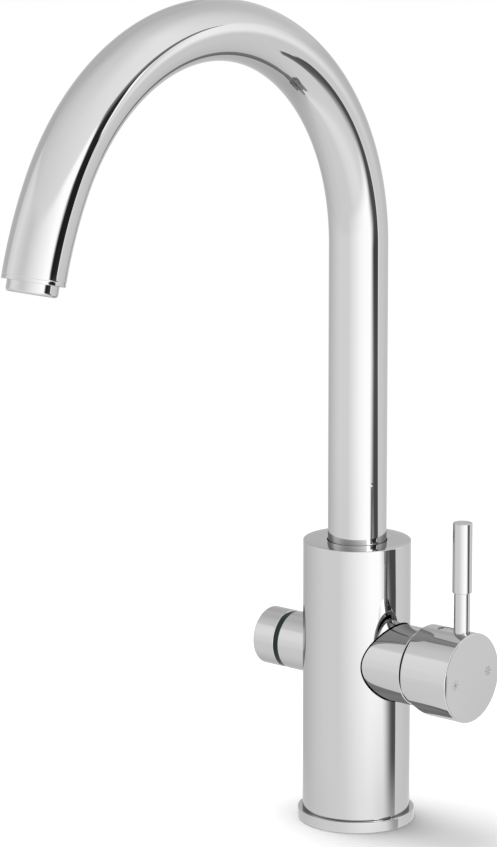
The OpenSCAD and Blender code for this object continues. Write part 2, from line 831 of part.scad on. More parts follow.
module knob_grub_screw() {
    length = valve_r - spindle_r - 1;
    color("dimgray") left() translate([knob_screw_x, 0, side_z - spindle_r - 0.05 - length]) difference() {
        cylinder(h = length, r = knob_grub_r);
        translate([0, 0, -over]) cylinder(h = 2 + over, r = 1.15, $fn = 6);
    }
}

base_ring();
base_seal();
body_shell();
mounting_foot();
valve_core();
mixer_socket();
socket_seal();
cartridge_base();
cartridge_seals();
cartridge_housing();
fixed_disc();
moving_disc();
disc_carrier();
cartridge_rotor();
pivot_pin();
cartridge_nut();
handle_stem();
handle_hub();
lever_rod();
hub_grub_screw();
hub_plug();
spout_tube();
spout_nipple();
spout_o_rings();
glide_washer();
snap_ring();
glide_bush();
filter_water_tube();
tube_plug();
tube_plug_seal();
aerator_housing();
aerator_insert();
aerator_washer();
filter_socket();
indicator_ring();
headwork_body();
headwork_seal();
headwork_fixed_disc();
headwork_moving_disc();
headwork_spindle();
spindle_o_ring();
spindle_clip();
filter_knob();
knob_grub_screw();
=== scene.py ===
import json
import math
import bpy
import bmesh
from mathutils import Matrix, Vector


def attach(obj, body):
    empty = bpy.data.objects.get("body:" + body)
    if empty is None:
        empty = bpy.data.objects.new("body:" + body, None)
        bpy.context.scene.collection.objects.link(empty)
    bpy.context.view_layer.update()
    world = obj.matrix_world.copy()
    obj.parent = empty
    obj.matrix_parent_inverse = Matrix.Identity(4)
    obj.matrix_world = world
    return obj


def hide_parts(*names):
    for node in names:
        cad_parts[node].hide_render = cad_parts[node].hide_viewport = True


# Looks of the three-way kitchen mixer tap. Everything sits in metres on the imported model's frame.
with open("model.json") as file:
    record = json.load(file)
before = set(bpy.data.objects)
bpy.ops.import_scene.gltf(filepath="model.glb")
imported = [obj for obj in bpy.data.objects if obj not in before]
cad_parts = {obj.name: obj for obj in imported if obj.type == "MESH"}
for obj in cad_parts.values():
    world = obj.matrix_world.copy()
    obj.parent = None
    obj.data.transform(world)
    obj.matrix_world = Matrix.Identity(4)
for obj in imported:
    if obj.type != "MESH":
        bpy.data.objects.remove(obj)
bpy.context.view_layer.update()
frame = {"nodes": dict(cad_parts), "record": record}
mm = 0.001
scene = bpy.context.scene
print("frame loaded:", len(frame["nodes"]), "nodes")


# Camera

view = {
    "place": (0.9705034, -1.2283474, 0.5078509),
    "down": 9.521,  # degrees below the horizon
    "turn": 40.0061,  # degrees round the upright
    "lens": 160.345,
    "sensor": 36,
    "shiftY": -0.2,  # keeps the body upright in the frame, as a shift lens does
    "near": 0.05,
    "far": 60,
}

cameraData = bpy.data.cameras.new("camera")
cameraData.lens = view["lens"]
cameraData.sensor_width = view["sensor"]
cameraData.shift_y = view["shiftY"]
cameraData.clip_start = view["near"]
cameraData.clip_end = view["far"]
camera = bpy.data.objects.new("camera", cameraData)
camera.location = view["place"]
camera.rotation_euler = (math.radians(90 - view["down"]), 0, math.radians(view["turn"]))
scene.collection.objects.link(camera)
scene.camera = camera
print("camera set")


# Node helpers

def addNode(tree, kind, **settings):
    node = tree.nodes.new(kind)
    for key, value in settings.items():
        setattr(node, key, value)
    return node


def feed(tree, socket, value):
    if isinstance(value, (int, float, tuple)):
        socket.default_value = value
    elif value is not None:
        tree.links.new(value, socket)


def calc(tree, operation, first, second=None, third=None):
    node = addNode(tree, "ShaderNodeMath", operation=operation)
    for socket, value in zip(node.inputs, (first, second, third)):
        feed(tree, socket, value)
    return node.outputs[0]


def fade(tree, value, low, high):
    node = addNode(tree, "ShaderNodeMapRange", interpolation_type="SMOOTHSTEP")
    feed(tree, node.inputs["Value"], value)
    feed(tree, node.inputs["From Min"], low)
    feed(tree, node.inputs["From Max"], high)
    return node.outputs["Result"]


def spread(tree, value, low, high):
    node = addNode(tree, "ShaderNodeMapRange")
    feed(tree, node.inputs["Value"], value)
    feed(tree, node.inputs["To Min"], low)
    feed(tree, node.inputs["To Max"], high)
    return node.outputs["Result"]


def ramp(tree, value, stops):
    node = addNode(tree, "ShaderNodeValToRGB")
    stopList = node.color_ramp.elements
    while len(stopList) > 1:
        stopList.remove(stopList[-1])
    for number, (place, colour) in enumerate(stops):
        stop = stopList[0] if number == 0 else stopList.new(place)
        stop.position = place
        stop.color = colour
    feed(tree, node.inputs["Fac"], value)
    return node.outputs["Color"]


def blendColours(tree, share, first, second):
    # A mix node keeps its colours at inputs 6 and 7 and at output 2
    node = addNode(tree, "ShaderNodeMix", data_type="RGBA")
    feed(tree, node.inputs[0], share)
    feed(tree, node.inputs[6], first)
    feed(tree, node.inputs[7], second)
    return node.outputs[2]


def newMaterial(name):
    material = bpy.data.materials.new(name)
    material.use_nodes = True
    material.node_tree.nodes.clear()
    leave = addNode(material.node_tree, "ShaderNodeOutputMaterial")
    return material, material.node_tree, leave


def newGroup(name, inputs, outputs):
    group = bpy.data.node_groups.new(name, "ShaderNodeTree")
    for label, kind, value in inputs:
        socket = group.interface.new_socket(name=label, in_out="INPUT", socket_type=kind)
        if value is not None:
            socket.default_value = value
    for label, kind in outputs:
        group.interface.new_socket(name=label, in_out="OUTPUT", socket_type=kind)
    return group, addNode(group, "NodeGroupInput"), addNode(group, "NodeGroupOutput")


# Mesh helper

def meshObject(name, bm, material=None):
    mesh = bpy.data.meshes.new(name)
    bm.to_mesh(mesh)
    bm.free()
    if material:
        mesh.materials.append(material)
    item = bpy.data.objects.new(name, mesh)
    scene.collection.objects.link(item)
    return item


# Studio: a dome that only polished metal sees, a pale floor and one soft lamp

studio = {
    "turn": 50.14,  # degrees that bring the camera's side round to the dome's zero
    "radius": 1.6,
    "meridians": 64,
    "parallels": 32,
    "plate": 0.52,  # share of light that chromium gives back
    "plainLight": 0.7,
    "lampPower": 36,
    "lampSize": 1.6,
    "lampPlace": (-0.58, -0.08, 2.0),
    "lampAim": (0, 0, 0.1),
    "floorRadius": 2.6,
    "floorSteps": 96,
    "floorDrop": 0.0002,
    "floorFade": (0.25, 0.7),  # distances between which the matt floor turns into plain white
    "floorColour": (0.9, 0.9, 0.905),
    "patchRadius": 0.13,
    "patchSteps": 64,
    "patchFull": 0.015,
    "patchShare": 0.47,
    "patchDrop": 0.0001,
}

# Parts of the dome, in degrees of elevation or round it: a pair says where one starts and where it is full
domeShape = {
    "wallBlend": (0, 13),  # lower wall to upper wall
    "topLine": 33,  # elevation in front at which the lit wall ends
    "topDrop": -0.065,  # rise of that line per degree to the right
    "topBlend": (-3, 2.5),
    "zenithBlend": (55, 93),
    "zenithGrey": 201,
    "floorBlend": (-10.5, -20),
    "beltBelow": (-11, -5),
    "beltAbove": (9, 2),
    "beltRight": (32, 4),
    "beltGain": 0.06,
    "cardSpan": 32,  # elevation, above and below, that the card's ramps reach
    "cardBelow": (-31.5, -28.5),
    "cardAbove": (31.5, 28),
    "cardSoft": 0.6,
    "secondShadeBelow": (-20, -8),
    "secondShadeLow": 0.44,  # painted shade: share of the light that a second reflection shows below the lit band
    "secondShadeAbove": (30, 42),
    "secondShadeHigh": 0.56,  # and above it
}

# Studio walls as polished chrome shows them, by degrees round from the camera, right is positive.
# Dim walls behind, paler sides, and a soft box in front that grows brighter up to the dark card.
wallGreys = {
    "upper": {-180: 160, -122: 168, -110: 175, -104: 203, -82: 217, -50: 197, -38: 198, 0: 232,
              35: 254, 82: 254, 84: 206, 93: 238, 104: 225, 120: 188, 140: 171, 180: 160},
    "lower": {-180: 164, -150: 158, -116: 184, -92: 197, -76: 202, -40: 202, 0: 235, 24: 251, 34: 254,
              80: 254, 84: 206, 91: 199, 110: 196, 150: 174, 180: 164},
    "high": {-180: 172, -130: 171, -96: 192, -60: 203, 60: 223, 84: 226, 132: 187, 180: 172},
    "low": {-180: 165, -150: 164, -96: 195, -60: 202, -24: 203, 0: 216, 24: 221, 54: 205, 90: 200,
            120: 189, 150: 171, 180: 165},
}

# Painted reflection of the floor and its shade close to the base: the grey that the plating shows there
floorShadeGreys = {-180: 180, -70: 190, -20: 206, 5: 221, 28: 221, 42: 207, 72: 192, 180: 180}

# Painted shade, and painted light where the share passes one: share of the lit band's light that a second
# reflection shows
paintedSecondReflection = {-180: 0.42, -130: 0.44, -105: 0.85, -90: 0.85, -60: 0.65, -30: 0.58, 0: 0.7,
                20: 0.85, 34: 1.0, 41: 1.8, 78: 1.8, 82: 0.55, 180: 0.42}

# Dark card on the right: degrees where it starts, is full and ends, and its grey, by elevation
cardShape = {
    -30: (70, 86, 94.5, 110), -26: (66, 86, 94.5, 95), -23: (60, 85, 94.5, 84),
    -19: (58, 85, 90.8, 84), -15: (53, 82, 90.8, 76), -11: (45, 79, 90, 70),
    -8: (44, 67, 86, 70), -4: (44, 67, 82, 74), 0: (44, 60, 80, 58),
    4: (44, 55, 81, 34), 9: (45, 54, 83, 28), 12: (44, 56, 79.5, 30),
    18: (45, 62, 79.5, 34), 20: (54, 65, 79, 38), 22: (56, 64, 80, 42),
    24: (59, 65, 88, 64), 26: (58, 65, 98, 110), 28: (58, 65, 93, 110),
    30: (56, 66, 80, 120),
}


def lightOf(grey):
    # The light that polished chrome has to meet to show this grey
    share = grey / 255
    linear = ((share + 0.055) / 1.055) ** 2.4
    return (linear / studio["plate"],) * 3 + (1,)


def roundStops(values):
    return [((angle + 180) / 360, value) for angle, value in values.items()]


def greyStops(greys):
    return roundStops({angle: lightOf(grey) for angle, grey in greys.items()})


def turnedPlace(tree):
    # Object coordinates, turned so that their x axis points towards the camera
    place = addNode(tree, "ShaderNodeTexCoord")
    turned = addNode(tree, "ShaderNodeVectorRotate", rotation_type="Z_AXIS")
    feed(tree, turned.inputs["Angle"], math.radians(studio["turn"]))
    feed(tree, turned.inputs["Vector"], place.outputs["Object"])
    return turned.outputs[0]


def turnAngle(tree, parts):
    return calc(tree, "ARCTAN2", parts.outputs["Y"], parts.outputs["X"])


def beyondFirst(tree, path):
    # One at a second reflection and all later ones
    return calc(tree, "GREATER_THAN", path.outputs["Glossy Depth"], 1.5)


def stageObject(name, bm, material):
    item = meshObject(name, bm, material)
    return item


def onlyForPlating(item):
    item.visible_camera = False
    item.visible_diffuse = False
    item.visible_transmission = False
    item.visible_volume_scatter = False
    item.visible_shadow = False


def makeDome():
    dome = domeShape
    material, tree, leave = newMaterial("studioDome")
    material.cycles.emission_sampling = "NONE"
    unit = addNode(tree, "ShaderNodeVectorMath", operation="NORMALIZE")
    feed(tree, unit.inputs[0], turnedPlace(tree))
    parts = addNode(tree, "ShaderNodeSeparateXYZ")
    feed(tree, parts.inputs[0], unit.outputs[0])
    degree = 180 / math.pi
    angle = calc(tree, "MULTIPLY", turnAngle(tree, parts), degree)
    rise = calc(tree, "MULTIPLY", calc(tree, "ARCSINE", parts.outputs["Z"]), degree)
    around = calc(tree, "MULTIPLY_ADD", angle, 1 / 360, 0.5)
    upper, lower, high, low = [ramp(tree, around, greyStops(wallGreys[wall]))
                               for wall in ("upper", "lower", "high", "low")]
    band = blendColours(tree, fade(tree, rise, *dome["wallBlend"]), lower, upper)
    # A slightly brighter belt at table height, left of the brightest part
    belt = fade(tree, rise, *dome["beltBelow"])
    belt = calc(tree, "MULTIPLY", belt, fade(tree, rise, *dome["beltAbove"]))
    belt = calc(tree, "MULTIPLY", belt, fade(tree, angle, *dome["beltRight"]))
    raised = addNode(tree, "ShaderNodeVectorMath", operation="SCALE")
    feed(tree, raised.inputs[0], band)
    feed(tree, raised.inputs["Scale"], calc(tree, "MULTIPLY_ADD", belt, dome["beltGain"], 1))
    # The lit wall ends above in a line that drops towards the right, and below in a level one
    topLine = calc(tree, "MULTIPLY_ADD", angle, dome["topDrop"], dome["topLine"])
    above = calc(tree, "SUBTRACT", rise, topLine)
    band = blendColours(tree, fade(tree, above, *dome["topBlend"]), raised.outputs[0], high)
    band = blendColours(tree, fade(tree, rise, *dome["zenithBlend"]), band, lightOf(dome["zenithGrey"]))
    band = blendColours(tree, fade(tree, rise, *dome["floorBlend"]), band, low)
    # The dark card: a ramp over the elevations holds its three edges, in hundreds of degrees
    span = dome["cardSpan"]
    level = calc(tree, "MULTIPLY_ADD", rise, 0.5 / span, 0.5)
    edgeStops = []
    cardStops = []
    for height, (start, full, end, grey) in cardShape.items():
        stopPlace = (height + span) / (2 * span)
        edgeStops.append((stopPlace, (start / 100, full / 100, end / 100, 1)))
        cardStops.append((stopPlace, lightOf(grey)))
    edges = addNode(tree, "ShaderNodeSeparateColor")
    feed(tree, edges.inputs[0], ramp(tree, level, edgeStops))
    share = calc(tree, "MULTIPLY", angle, 0.01)
    soft = dome["cardSoft"] / 100
    left = fade(tree, share, edges.outputs[0], edges.outputs[1])
    right = fade(tree, calc(tree, "SUBTRACT", share, edges.outputs[2]), soft, -soft)
    card = calc(tree, "MULTIPLY", left, right)
    card = calc(tree, "MULTIPLY", card, fade(tree, rise, *dome["cardBelow"]))
    card = calc(tree, "MULTIPLY", card, fade(tree, rise, *dome["cardAbove"]))
    glow = blendColours(tree, card, band, ramp(tree, level, cardStops))
    # Painted shade and painted light on second reflections, by elevation and round the lit band
    path = addNode(tree, "ShaderNodeLightPath")
    paintedSecondStops = roundStops({turn: (part,) * 3 + (1,) for turn, part in paintedSecondReflection.items()})
    paintedSecondShare = ramp(tree, around, paintedSecondStops)
    paintedSecondShare = spread(tree, fade(tree, rise, *dome["secondShadeBelow"]), dome["secondShadeLow"], paintedSecondShare)
    paintedSecondShare = spread(tree, fade(tree, rise, *dome["secondShadeAbove"]), paintedSecondShare, dome["secondShadeHigh"])
    direct = calc(tree, "LESS_THAN", path.outputs["Diffuse Depth"], 0.5)
    emission = addNode(tree, "ShaderNodeEmission")
    feed(tree, emission.inputs["Color"], glow)
    feed(tree, emission.inputs["Strength"],
         calc(tree, "MULTIPLY", direct, spread(tree, beyondFirst(tree, path), 1, paintedSecondShare)))
    feed(tree, leave.inputs["Surface"], emission.outputs[0])
    bm = bmesh.new()
    bmesh.ops.create_uvsphere(bm, u_segments=studio["meridians"], v_segments=studio["parallels"],
                              radius=studio["radius"])
    bmesh.ops.reverse_faces(bm, faces=bm.faces)
    onlyForPlating(stageObject("studioDome", bm, material))


def makeFloor():
    material, tree, leave = newMaterial("studioFloor")
    place = addNode(tree, "ShaderNodeTexCoord")
    far = addNode(tree, "ShaderNodeVectorMath", operation="LENGTH")
    feed(tree, far.inputs[0], place.outputs["Object"])
    matt = addNode(tree, "ShaderNodeBsdfDiffuse")
    feed(tree, matt.inputs["Color"], studio["floorColour"] + (1,))
    white = addNode(tree, "ShaderNodeEmission")
    clear = addNode(tree, "ShaderNodeBsdfTransparent")
    faded = addNode(tree, "ShaderNodeMixShader")
    feed(tree, faded.inputs[0], fade(tree, far.outputs["Value"], *studio["floorFade"]))
    feed(tree, faded.inputs[1], matt.outputs[0])
    feed(tree, faded.inputs[2], white.outputs[0])
    light = addNode(tree, "ShaderNodeLightPath")
    seen = addNode(tree, "ShaderNodeMixShader")
    feed(tree, seen.inputs[0], light.outputs["Is Camera Ray"])
    feed(tree, seen.inputs[1], matt.outputs[0])
    feed(tree, seen.inputs[2], faded.outputs[0])
    facing = addNode(tree, "ShaderNodeNewGeometry")
    both = addNode(tree, "ShaderNodeMixShader")
    feed(tree, both.inputs[0], facing.outputs["Backfacing"])
    feed(tree, both.inputs[1], seen.outputs[0])
    feed(tree, both.inputs[2], clear.outputs[0])
    feed(tree, leave.inputs["Surface"], both.outputs[0])
    bm = bmesh.new()
    bmesh.ops.create_circle(bm, cap_ends=True, segments=studio["floorSteps"],
                            radius=studio["floorRadius"])
    bmesh.ops.translate(bm, verts=bm.verts, vec=(0, 0, -studio["floorDrop"]))
    floor = stageObject("studioFloor", bm, material)
    floor.visible_glossy = False


def makeLights():
    world = bpy.data.worlds.new("studio")
    scene.world = world
    world.use_nodes = True
    tree = world.node_tree
    tree.nodes.clear()
    leave = addNode(tree, "ShaderNodeOutputWorld")
    light = addNode(tree, "ShaderNodeLightPath")
    seen = calc(tree, "MAXIMUM", light.outputs["Is Camera Ray"], light.outputs["Is Glossy Ray"])
    seen = calc(tree, "MAXIMUM", seen, light.outputs["Is Transmission Ray"])
    back = addNode(tree, "ShaderNodeBackground")
    feed(tree, back.inputs["Color"], (1, 1, 1, 1))
    feed(tree, back.inputs["Strength"], spread(tree, seen, studio["plainLight"], 1))
    feed(tree, leave.inputs["Surface"], back.outputs[0])
    lampData = bpy.data.lights.new("softLamp", "AREA")
    lampData.shape = "DISK"
    lampData.size = studio["lampSize"]
    lampData.energy = studio["lampPower"]
    lamp = bpy.data.objects.new("softLamp", lampData)
    lamp.location = studio["lampPlace"]
    aim = Vector(studio["lampAim"]) - lamp.location
    lamp.rotation_euler = aim.to_track_quat("-Z", "Y").to_euler()
    lamp.visible_glossy = False
    scene.collection.objects.link(lamp)


def makeFloorShadeReflection():
    # Painted reflection of the floor's shade: a round of floor that only polished metal sees, strongest at
    # the base
    material, tree, leave = newMaterial("floorShadeReflection")
    material.cycles.emission_sampling = "NONE"
    turned = turnedPlace(tree)
    parts = addNode(tree, "ShaderNodeSeparateXYZ")
    feed(tree, parts.inputs[0], turned)
    around = calc(tree, "MULTIPLY_ADD", turnAngle(tree, parts), 1 / (2 * math.pi), 0.5)
    far = addNode(tree, "ShaderNodeVectorMath", operation="LENGTH")
    feed(tree, far.inputs[0], turned)
    path = addNode(tree, "ShaderNodeLightPath")
    glow = addNode(tree, "ShaderNodeEmission")
    feed(tree, glow.inputs["Color"], ramp(tree, around, greyStops(floorShadeGreys)))
    # At second reflections the round is dimmed by the same painted shade as the dome
    feed(tree, glow.inputs["Strength"], spread(tree, beyondFirst(tree, path), 1, domeShape["secondShadeLow"]))
    clear = addNode(tree, "ShaderNodeBsdfTransparent")
    both = addNode(tree, "ShaderNodeMixShader")
    near = fade(tree, far.outputs["Value"], studio["patchRadius"], studio["patchFull"])
    feed(tree, both.inputs[0], calc(tree, "MULTIPLY", near, studio["patchShare"]))
    feed(tree, both.inputs[1], clear.outputs[0])
    feed(tree, both.inputs[2], glow.outputs[0])
    feed(tree, leave.inputs["Surface"], both.outputs[0])
    bm = bmesh.new()
    bmesh.ops.create_circle(bm, cap_ends=True, segments=studio["patchSteps"],
                            radius=studio["patchRadius"])
    bmesh.ops.translate(bm, verts=bm.verts, vec=(0, 0, -studio["patchDrop"]))
    onlyForPlating(stageObject("floorShadeReflection", bm, material))


makeDome()
makeFloorShadeReflection()
makeFloor()
makeLights()
scene.view_settings.view_transform = "Standard"
print("studio ready")


# Finishes

hazeShape = {"detail": 4, "breakup": 0.6, "hazeFrom": 0.42, "hazeFull": 0.78, "darkest": 0.985,
             "fineDetail": 2, "fineScale": 6.0}


def makeHazeGroup():
    group, enter, leave = newGroup(
        "polishHaze",
        [("Vector", "NodeSocketVector", None), ("Colour", "NodeSocketColor", (0.9, 0.9, 0.9, 1)),
         ("Smooth", "NodeSocketFloat", 0.02), ("Hazy", "NodeSocketFloat", 0.05),
         ("Scale", "NodeSocketFloat", 40.0)],
        [("Colour", "NodeSocketColor"), ("Roughness", "NodeSocketFloat"), ("Height", "NodeSocketFloat")])
    smooth = enter.outputs["Smooth"]
    broad = addNode(group, "ShaderNodeTexNoise")
    feed(group, broad.inputs["Detail"], hazeShape["detail"])
    feed(group, broad.inputs["Roughness"], hazeShape["breakup"])
    feed(group, broad.inputs["Vector"], enter.outputs["Vector"])
    feed(group, broad.inputs["Scale"], enter.outputs["Scale"])
    haze = fade(group, broad.outputs[0], hazeShape["hazeFrom"], hazeShape["hazeFull"])
    added = calc(group, "SUBTRACT", enter.outputs["Hazy"], smooth)
    rough = calc(group, "MULTIPLY_ADD", haze, added, smooth)
    fine = addNode(group, "ShaderNodeTexNoise")
    feed(group, fine.inputs["Detail"], hazeShape["fineDetail"])
    feed(group, fine.inputs["Vector"], enter.outputs["Vector"])
    fineScale = calc(group, "MULTIPLY", enter.outputs["Scale"], hazeShape["fineScale"])
    feed(group, fine.inputs["Scale"], fineScale)
    tone = addNode(group, "ShaderNodeVectorMath", operation="SCALE")
    feed(group, tone.inputs[0], enter.outputs["Colour"])
    feed(group, tone.inputs["Scale"], spread(group, broad.outputs[0], hazeShape["darkest"], 1.0))
    feed(group, leave.inputs["Colour"], tone.outputs[0])
    feed(group, leave.inputs["Roughness"], rough)
    feed(group, leave.inputs["Height"], fine.outputs[0])
    return group


grainShape = {"detail": 5, "ringScale": 420, "ringWaver": 0.6, "patchScale": 45, "patchFrom": 0.3,
              "patchFull": 0.7}


def makeGrainGroup():
    group, enter, leave = newGroup(
        "castGrain",
        [("Vector", "NodeSocketVector", None), ("Light", "NodeSocketColor", (0.8, 0.8, 0.8, 1)),
         ("Dark", "NodeSocketColor", (0.5, 0.5, 0.5, 1)), ("Scale", "NodeSocketFloat", 300.0),
         ("Rough Low", "NodeSocketFloat", 0.3), ("Rough High", "NodeSocketFloat", 0.5),
         ("Rings", "NodeSocketFloat", 0.0)],
        [("Colour", "NodeSocketColor"), ("Roughness", "NodeSocketFloat"), ("Height", "NodeSocketFloat")])
    roughLow = enter.outputs["Rough Low"]
    grain = addNode(group, "ShaderNodeTexNoise")
    feed(group, grain.inputs["Detail"], grainShape["detail"])
    feed(group, grain.inputs["Vector"], enter.outputs["Vector"])
    feed(group, grain.inputs["Scale"], enter.outputs["Scale"])
    marks = addNode(group, "ShaderNodeTexWave", wave_type="RINGS", rings_direction="Z")
    feed(group, marks.inputs["Scale"], grainShape["ringScale"])
    feed(group, marks.inputs["Distortion"], grainShape["ringWaver"])
    feed(group, marks.inputs["Vector"], enter.outputs["Vector"])
    patch = addNode(group, "ShaderNodeTexNoise")
    feed(group, patch.inputs["Scale"], grainShape["patchScale"])
    feed(group, patch.inputs["Vector"], enter.outputs["Vector"])
    pale = fade(group, patch.outputs[0], grainShape["patchFrom"], grainShape["patchFull"])
    mixed = blendColours(group, pale, enter.outputs["Dark"], enter.outputs["Light"])
    height = calc(group, "MULTIPLY_ADD", marks.outputs["Fac"], enter.outputs["Rings"], grain.outputs[0])
    added = calc(group, "SUBTRACT", enter.outputs["Rough High"], roughLow)
    rough = calc(group, "MULTIPLY_ADD", grain.outputs[0], added, roughLow)
    feed(group, leave.inputs["Colour"], mixed)
    feed(group, leave.inputs["Roughness"], rough)
    feed(group, leave.inputs["Height"], height)
    return group


hazeGroup = makeHazeGroup()
grainGroup = makeGrainGroup()

bumpDepth = 0.00002  # metres
plainShine = 0.5  # specular level of every finish that names none

chromeLook = {"colour": (0.521, 0.5205, 0.52), "smooth": 0.015, "hazy": 0.05, "scale": 30.0, "bump": 0.02}

grainLooks = {
    "castBrass": {"light": (0.5, 0.37, 0.18), "dark": (0.36, 0.26, 0.12), "metallic": 1.0,
                  "rough": (0.35, 0.55), "scale": 500.0, "rings": 0.6, "bump": 0.25},
    # Painted shade: brass darkened to near black for the cartridge nut, so the gap between socket and hub
    # shows dark as a shadow would
    "paintedShadeBrass": {"light": (0.05, 0.04, 0.026), "dark": (0.03, 0.024, 0.016), "metallic": 1.0,
                  "rough": (0.5, 0.65), "scale": 500.0, "rings": 0.4, "bump": 0.2},
    "turnedSteel": {"light": (0.62, 0.62, 0.63), "dark": (0.5, 0.5, 0.52), "metallic": 1.0,
                    "rough": (0.2, 0.36), "scale": 600.0, "rings": 0.8, "bump": 0.25},
    "sealRubber": {"light": (0.045, 0.045, 0.048), "dark": (0.025, 0.025, 0.027), "metallic": 0.0,
                   "rough": (0.55, 0.75), "scale": 900.0, "rings": 0.0, "bump": 0.2},
    "whiteAcetal": {"light": (0.84, 0.84, 0.82), "dark": (0.78, 0.78, 0.75), "metallic": 0.0,
                    "rough": (0.35, 0.5), "scale": 700.0, "rings": 0.1, "bump": 0.12},
    "greyAcetal": {"light": (0.42, 0.43, 0.45), "dark": (0.34, 0.35, 0.37), "metallic": 0.0,
                   "rough": (0.35, 0.5), "scale": 700.0, "rings": 0.1, "bump": 0.12},
    "lappedCeramic": {"light": (0.86, 0.85, 0.81), "dark": (0.8, 0.79, 0.75), "metallic": 0.0,
                      "rough": (0.12, 0.2), "scale": 800.0, "rings": 0.0, "bump": 0.05},
    "hosePlastic": {"light": (0.74, 0.8, 0.84), "dark": (0.68, 0.75, 0.8), "metallic": 0.0,
                    "rough": (0.3, 0.42), "scale": 300.0, "rings": 0.0, "bump": 0.1},
    "greenRing": {"light": (0.006, 0.019, 0.014), "dark": (0.004, 0.012, 0.009), "metallic": 0.0,
                  "rough": (0.05, 0.1), "scale": 500.0, "rings": 0.0, "bump": 0.04, "specular": 0.18},
    "etchedSign": {"light": (0.42, 0.42, 0.425), "dark": (0.35, 0.35, 0.355), "metallic": 0.3,
                   "rough": (0.45, 0.6), "scale": 1500.0, "rings": 0.0, "bump": 0.15},
}


def surfaceNodes(tree, leave, group, metallic, strength, shine=plainShine):
    place = addNode(tree, "ShaderNodeTexCoord")
    effect = addNode(tree, "ShaderNodeGroup", node_tree=group)
    feed(tree, effect.inputs["Vector"], place.outputs["Object"])
    bump = addNode(tree, "ShaderNodeBump")
    feed(tree, bump.inputs["Strength"], strength)
    feed(tree, bump.inputs["Distance"], bumpDepth)
    feed(tree, bump.inputs["Height"], effect.outputs["Height"])
    shader = addNode(tree, "ShaderNodeBsdfPrincipled")
    feed(tree, shader.inputs["Metallic"], metallic)
    feed(tree, shader.inputs["Specular IOR Level"], shine)
    feed(tree, shader.inputs["Base Color"], effect.outputs["Colour"])
    feed(tree, shader.inputs["Roughness"], effect.outputs["Roughness"])
    feed(tree, shader.inputs["Normal"], bump.outputs[0])
    feed(tree, leave.inputs["Surface"], shader.outputs[0])
    return effect


def setInputs(tree, effect, values):
    for label, value in values.items():
        feed(tree, effect.inputs[label], value)


def makeChrome():
    look = chromeLook
    material, tree, leave = newMaterial("chromePlate")
    effect = surfaceNodes(tree, leave, hazeGroup, 1.0, look["bump"])
    setInputs(tree, effect, {"Colour": look["colour"] + (1,), "Smooth": look["smooth"],
                             "Hazy": look["hazy"], "Scale": look["scale"]})
    return material


def makeGrainMaterial(name):
    look = grainLooks[name]
    material, tree, leave = newMaterial(name)
    shine = look.get("specular", plainShine)
    effect = surfaceNodes(tree, leave, grainGroup, look["metallic"], look["bump"], shine)
    roughLow, roughHigh = look["rough"]
    setInputs(tree, effect, {"Light": look["light"] + (1,), "Dark": look["dark"] + (1,),
                             "Scale": look["scale"], "Rough Low": roughLow, "Rough High": roughHigh,
                             "Rings": look["rings"]})
    return material


chrome = makeChrome()
finishes = {
    "chrome_plate": chrome,
    "cast_brass": makeGrainMaterial("castBrass"),
    "steel": makeGrainMaterial("turnedSteel"),
    "seal_rubber": makeGrainMaterial("sealRubber"),
    "white_acetal": makeGrainMaterial("whiteAcetal"),
    "grey_acetal": makeGrainMaterial("greyAcetal"),
    "ceramic": makeGrainMaterial("lappedCeramic"),
    "hose_plastic": makeGrainMaterial("hosePlastic"),
    "green_ring": makeGrainMaterial("greenRing"),
}
signInk = makeGrainMaterial("etchedSign")
paintedShadeBrass = makeGrainMaterial("paintedShadeBrass")

for part in frame["record"]["subparts"]:
    solid = frame["nodes"][part["node"]]
    solid.data.materials.clear()
    solid.data.materials.append(finishes[part["material_slot"]])
print("finishes ready:", len(finishes) + 2)


# Shop tools

shop = {
    "bevelSteps": 4,
    "mergeReach": 1e-6,  # metres
    "crease": 28,  # degrees above which an edge stays sharp
    "cutterTurn": 0.31,  # degrees that keep a cutter's corners off the seams of what it cuts
    "wallSlack": 0.02,  # millimetres off its radius at which a point still counts as on the wall
}

sideHeight = 72.3 * mm
upright = Matrix.Identity(4)
mixerSide = Matrix.Translation((0, 0, sideHeight)) @ Matrix.Rotation(math.radians(90), 4, "Y")
filterSide = Matrix.Translation((0, 0, sideHeight)) @ Matrix.Rotation(math.radians(-90), 4, "Y")


def turnedShape(corners, place, steps):
    # Each corner is a radius, a height along the axis and a rounding, in millimetres
    bm = bmesh.new()
    points = [bm.verts.new((radius * mm, 0, height * mm)) for radius, height, rounding in corners]
    pairs = list(zip(points, points[1:]))
    if corners[0][0] > 0:
        pairs.append((points[-1], points[0]))
    for pair in pairs:
        bm.edges.new(pair)
    for size in sorted({corner[2] for corner in corners if corner[2]}):
        soft = [point for point, corner in zip(points, corners) if corner[2] == size]
        bmesh.ops.bevel(bm, geom=soft, offset=size * mm, offset_type="OFFSET", affect="VERTICES",
                        segments=shop["bevelSteps"], profile=0.5, material=-1)
    bmesh.ops.spin(bm, geom=bm.verts[:] + bm.edges[:], cent=(0, 0, 0), axis=(0, 0, 1),
                   angle=2 * math.pi, steps=steps, use_merge=True)
    bmesh.ops.remove_doubles(bm, verts=bm.verts, dist=shop["mergeReach"])
    bmesh.ops.transform(bm, matrix=place, verts=bm.verts)
    bmesh.ops.recalc_face_normals(bm, faces=bm.faces)
    return bm


def dressed(name, bm, body, nodes, material, weighted=True):
    piece = meshObject(name, bm, material)
    piece.data.shade_smooth()
    piece.data.set_sharp_from_angle(angle=math.radians(shop["crease"]))
    if weighted:
        even = piece.modifiers.new("evenNormals", "WEIGHTED_NORMAL")
        even.keep_sharp = True
    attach(piece, body)
    if nodes:
        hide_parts(*nodes)
    return piece


